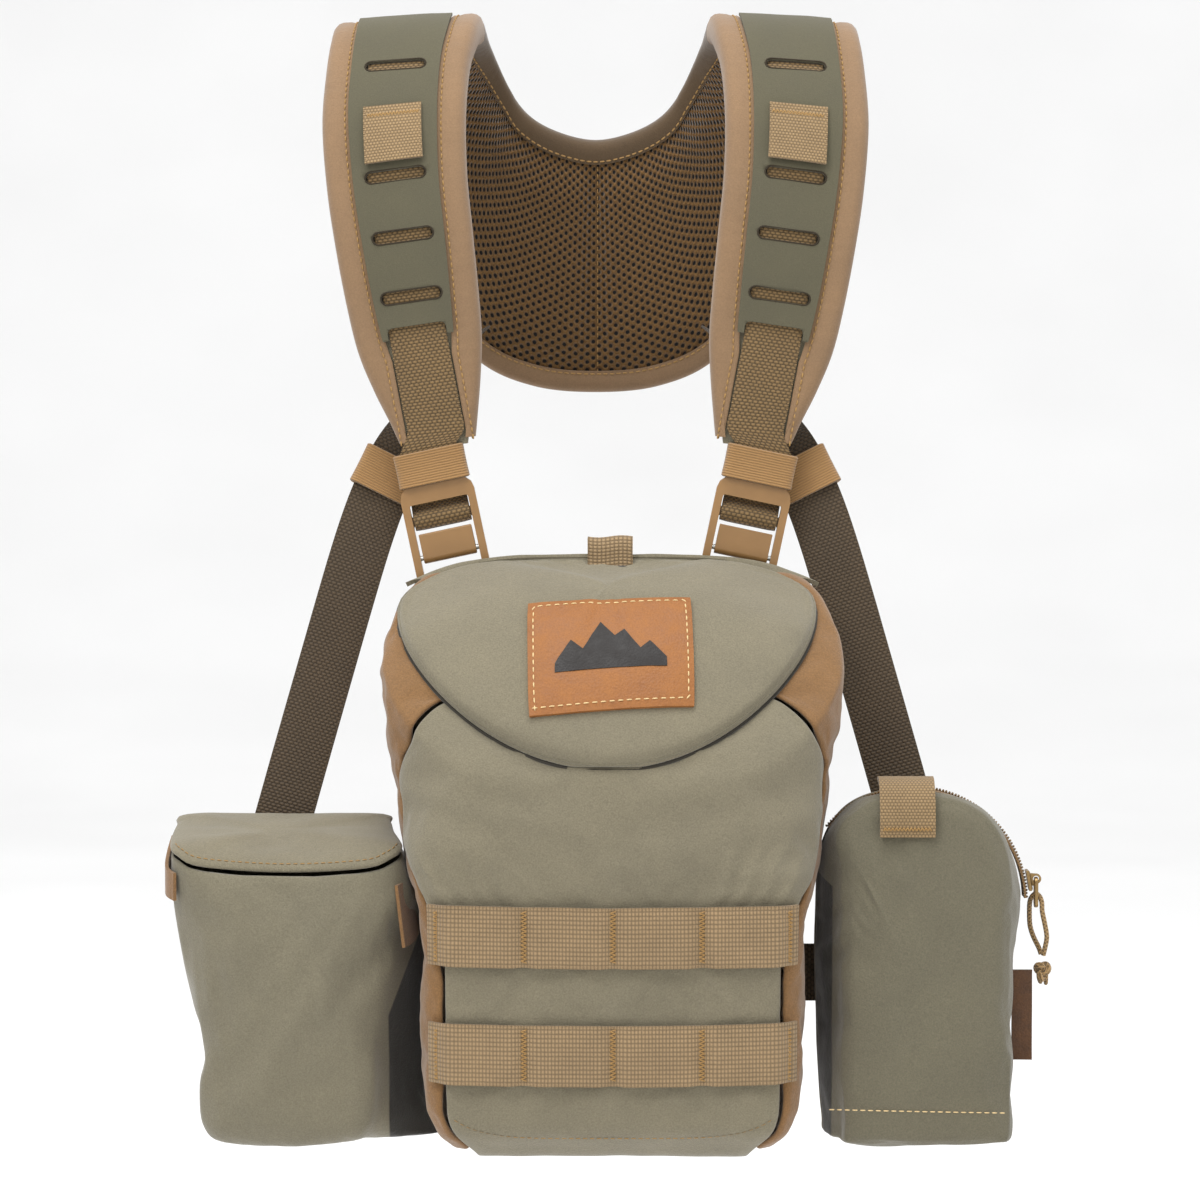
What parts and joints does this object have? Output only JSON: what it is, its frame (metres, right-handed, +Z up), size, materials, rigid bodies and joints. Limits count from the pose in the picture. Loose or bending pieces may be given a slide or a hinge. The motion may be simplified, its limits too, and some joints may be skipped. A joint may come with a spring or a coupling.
{
  "type": "binocular harness pack",
  "caption": "Chest pack for binoculars on a padded two-strap harness, with a forward-opening padded lid, side pouches, webbing rows, ladder buckles and a zip with a cord pull.",
  "frame": {"origin": "the underside of the shoulder straps where they rest on the shoulders, on the back panel's plane and near the pack's centre line", "axes": "+X to the right of someone facing the pack, +Y from the pack's front towards the wearer's back, +Z up"},
  "size_m": [0.3911, 0.252, 0.5035],
  "materials": {
    "olive_fabric": "matt woven nylon",
    "coyote_fabric": "matt woven nylon",
    "grey_foam": "closed-cell foam",
    "spacer_mesh": "open knitted spacer mesh",
    "laminate": "smooth cut laminate",
    "binding_tape": "grosgrain binding",
    "dark_webbing": "woven webbing",
    "light_webbing": "woven webbing",
    "elastic": "ribbed elastic",
    "coyote_plastic": "semi-gloss moulded acetal",
    "bright_steel": "bright drawn",
    "zip_metal": "dull plated",
    "tan_leather": "vegetable-tanned, matt",
    "zip_tape": "knitted tape",
    "braided_cord": "braided",
    "hook_strip": "hook tape"
  },
  "bodies": {
    "harness": {"buckle_anchor_left": "dark_webbing", "buckle_anchor_right": "dark_webbing", "buckle_frame_left": "coyote_plastic", "buckle_frame_right": "coyote_plastic", "buckle_pin_left": "bright_steel", "buckle_pin_right": "bright_steel", "elastic_keeper_left": "elastic", "elastic_keeper_right": "elastic", "inner_binding_left": "binding_tape", "inner_binding_right": "binding_tape", "left_pouch_body": "olive_fabric", "left_pouch_mount_strap": "dark_webbing", "left_pouch_trim": "coyote_fabric", "lid_closure_strip": "hook_strip", "outer_binding_left": "binding_tape", "outer_binding_right": "binding_tape", "pack_back_panel": "olive_fabric", "pack_floor_pad": "grey_foam", "pack_front_panel": "olive_fabric", "pack_side_panel_left": "coyote_fabric", "pack_side_panel_right": "coyote_fabric", "right_pouch_back": "olive_fabric", "right_pouch_front": "olive_fabric", "right_pouch_mount_strap": "dark_webbing", "right_pouch_tab": "light_webbing", "right_pouch_tag": "tan_leather", "right_pouch_zip": "zip_tape", "shoulder_facing_left": "laminate", "shoulder_facing_right": "laminate", "shoulder_mesh_left": "spacer_mesh", "shoulder_mesh_right": "spacer_mesh", "shoulder_pad_left": "olive_fabric", "shoulder_pad_right": "olive_fabric", "shoulder_webbing_left": "dark_webbing", "shoulder_webbing_right": "dark_webbing", "side_keeper_left": "elastic", "side_keeper_right": "elastic", "side_strap_left": "dark_webbing", "side_strap_right": "dark_webbing", "webbing_row_lower": "light_webbing", "webbing_row_upper": "light_webbing", "yoke_foam_pad": "grey_foam", "yoke_lower_binding": "binding_tape", "yoke_mesh_liner": "spacer_mesh", "yoke_neck_binding": "binding_tape", "yoke_outer_panel": "olive_fabric"},
    "lid": {"pack_lid": "olive_fabric", "leather_patch": "tan_leather", "lid_pull_tab": "light_webbing"},
    "left_pouch_cover": {"left_pouch_lid": "olive_fabric"},
    "slider": {"zip_slider": "zip_metal"},
    "zip_pull": {"zip_puller": "zip_metal", "pull_cord": "braided_cord", "cord_knot": "braided_cord"},
    "gate_left": {"buckle_gate_left": "coyote_plastic"},
    "gate_right": {"buckle_gate_right": "coyote_plastic"},
    "tab_left": {"shoulder_tab_left": "light_webbing"},
    "tab_right": {"shoulder_tab_right": "light_webbing"}
  },
  "joints": [
    {"name": "lid_hinge", "type": "hinge", "parent": "harness", "child": "lid", "pos_m": [0.0005, -0.0952, -0.3165], "axis": [1, 0, 0], "range_deg": [0, 140]},
    {"name": "left_pouch_hinge", "type": "hinge", "parent": "harness", "child": "left_pouch_cover", "pos_m": [-0.13908, -0.071, -0.3615], "axis": [1, 0, 0], "range_deg": [0, 110]},
    {"name": "zip_run", "type": "hinge", "parent": "harness", "child": "slider", "pos_m": [0.1325, -0.034, -0.3785], "axis": [0, -1, 0], "range_deg": [0, 104]},
    {"name": "puller_swing", "type": "hinge", "parent": "slider", "child": "zip_pull", "pos_m": [0.18676, -0.034, -0.36893], "axis": [0, -1, 0], "range_deg": [-5, 80]},
    {"name": "gate_left_turn", "type": "hinge", "parent": "harness", "child": "gate_left", "pos_m": [-0.072, 0.0044, -0.227], "axis": [0.9781, 0, 0.2079], "range_deg": [0, 50]},
    {"name": "gate_right_turn", "type": "hinge", "parent": "harness", "child": "gate_right", "pos_m": [0.058, 0.0044, -0.227], "axis": [0.9781, 0, -0.2079], "range_deg": [0, 50]},
    {"name": "tab_left_lift", "type": "hinge", "parent": "harness", "child": "tab_left", "pos_m": [-0.09763, 0.01331, -0.02907], "axis": [-0.9953, 0.0166, -0.0951], "range_deg": [0, 120]},
    {"name": "tab_right_lift", "type": "hinge", "parent": "harness", "child": "tab_right", "pos_m": [0.08364, 0.01331, -0.02907], "axis": [-0.9953, -0.0166, 0.0951], "range_deg": [0, 120]}
  ]
}
